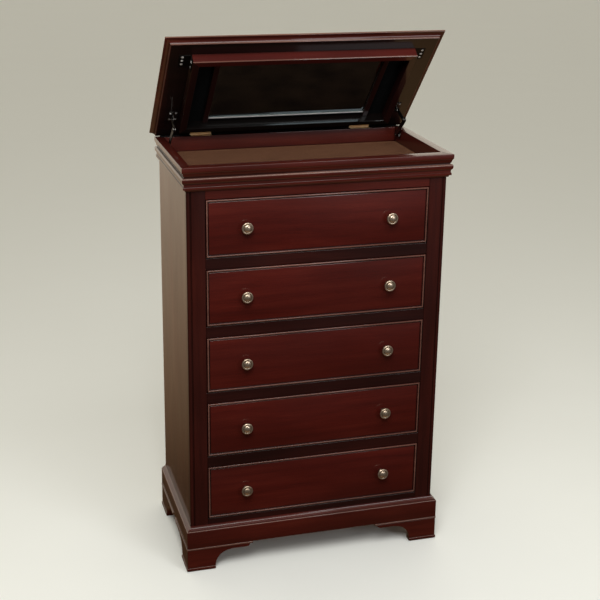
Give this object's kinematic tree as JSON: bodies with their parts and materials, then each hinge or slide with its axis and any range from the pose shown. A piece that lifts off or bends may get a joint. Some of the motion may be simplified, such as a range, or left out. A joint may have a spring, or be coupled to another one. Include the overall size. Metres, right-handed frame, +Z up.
{
  "type": "jewellery chest with drawers",
  "caption": "Tall lift-top jewellery chest: knobbed drawers on bracket feet, a lined till and a hinged lid with a framed mirror and folding stays.",
  "frame": {"origin": "on the floor, under the middle of the overall box with the lid open", "axes": "+Z up, -Y towards the viewer in front of the drawers, +X to that viewer's right"},
  "size_m": [0.812, 0.4508, 1.5614],
  "materials": {
    "mahogany": "dark red-brown mahogany, high-gloss lacquer",
    "drawer_mahogany": "dark red-brown mahogany with the grain across, high-gloss lacquer",
    "drawer_wood": "pale unfinished softwood",
    "panel_board": "stained plywood, flat finish",
    "felt": "dark brown flocked felt",
    "black_velvet": "black velvet, short pile",
    "mirror": "silvered plate glass",
    "brass": "polished, slightly warm",
    "steel": "dull antique finish",
    "pewter": "antique pewter with a warm brass tint"
  },
  "bodies": {
    "case": {"back_panel": "panel_board", "base_board": "mahogany", "drawer_rail_1": "mahogany", "drawer_rail_2": "mahogany", "drawer_rail_3": "mahogany", "drawer_rail_4": "mahogany", "foot_front_left": "mahogany", "foot_front_right": "mahogany", "foot_rear_left": "mahogany", "foot_rear_right": "mahogany", "front_post_left": "mahogany", "front_post_right": "mahogany", "hinge_left_case_leaf": "brass", "hinge_right_case_leaf": "brass", "plinth": "mahogany", "runner_frame_left": "drawer_wood", "runner_frame_right": "drawer_wood", "side_panel_left": "mahogany", "side_panel_right": "mahogany", "stay_left_case_bracket": "steel", "stay_right_case_bracket": "steel", "till_floor": "panel_board", "till_lining": "felt", "top_frame_back": "mahogany", "top_frame_front": "mahogany", "top_frame_left": "mahogany", "top_frame_right": "mahogany", "top_rail": "mahogany"},
    "lid": {"lid_panel": "mahogany", "mirror_frame": "mahogany", "mirror_backing": "black_velvet", "mirror_glass": "mirror", "hinge_left_lid_leaf": "brass", "hinge_right_lid_leaf": "brass", "stay_left_lid_bracket": "steel", "stay_right_lid_bracket": "steel"},
    "stay_arms": {"stay_left_arm": "steel", "stay_right_arm": "steel"},
    "stay_links": {"stay_left_link": "steel", "stay_right_link": "steel"},
    "drawer_1": {"drawer_1_box": "drawer_wood", "drawer_1_front": "drawer_mahogany", "drawer_1_knob_left": "pewter", "drawer_1_knob_right": "pewter"},
    "drawer_2": {"drawer_2_box": "drawer_wood", "drawer_2_front": "drawer_mahogany", "drawer_2_knob_left": "pewter", "drawer_2_knob_right": "pewter"},
    "drawer_3": {"drawer_3_box": "drawer_wood", "drawer_3_front": "drawer_mahogany", "drawer_3_knob_left": "pewter", "drawer_3_knob_right": "pewter"},
    "drawer_4": {"drawer_4_box": "drawer_wood", "drawer_4_front": "drawer_mahogany", "drawer_4_knob_left": "pewter", "drawer_4_knob_right": "pewter"},
    "drawer_5": {"drawer_5_box": "drawer_wood", "drawer_5_front": "drawer_mahogany", "drawer_5_knob_left": "pewter", "drawer_5_knob_right": "pewter"}
  },
  "joints": [
    {"name": "lid_hinge", "type": "hinge", "parent": "case", "child": "lid", "pos_m": [0, 0.21291, 1.2304], "axis": [1, 0, 0], "range_deg": [0, 47.1]},
    {"name": "stay_arm_pivot", "type": "hinge", "parent": "case", "child": "stay_arms", "pos_m": [0, 0.16491, 1.2104], "axis": [1, 0, 0], "range_deg": [0, 47.1]},
    {"name": "stay_link_pivot", "type": "hinge", "parent": "lid", "child": "stay_links", "pos_m": [0, 0.13877, 1.29256], "axis": [1, 0, 0], "range_deg": [-47.1, 0]},
    {"name": "drawer_1_slide", "type": "slide", "parent": "case", "child": "drawer_1", "axis": [0, -1, 0], "range_m": [0, 0.28]},
    {"name": "drawer_2_slide", "type": "slide", "parent": "case", "child": "drawer_2", "axis": [0, -1, 0], "range_m": [0, 0.28]},
    {"name": "drawer_3_slide", "type": "slide", "parent": "case", "child": "drawer_3", "axis": [0, -1, 0], "range_m": [0, 0.28]},
    {"name": "drawer_4_slide", "type": "slide", "parent": "case", "child": "drawer_4", "axis": [0, -1, 0], "range_m": [0, 0.28]},
    {"name": "drawer_5_slide", "type": "slide", "parent": "case", "child": "drawer_5", "axis": [0, -1, 0], "range_m": [0, 0.28]}
  ],
  "couplings": [
    {"joint": "stay_arm_pivot", "follows": "lid_hinge", "ratio": 1},
    {"joint": "stay_link_pivot", "follows": "lid_hinge", "ratio": -1}
  ]
}
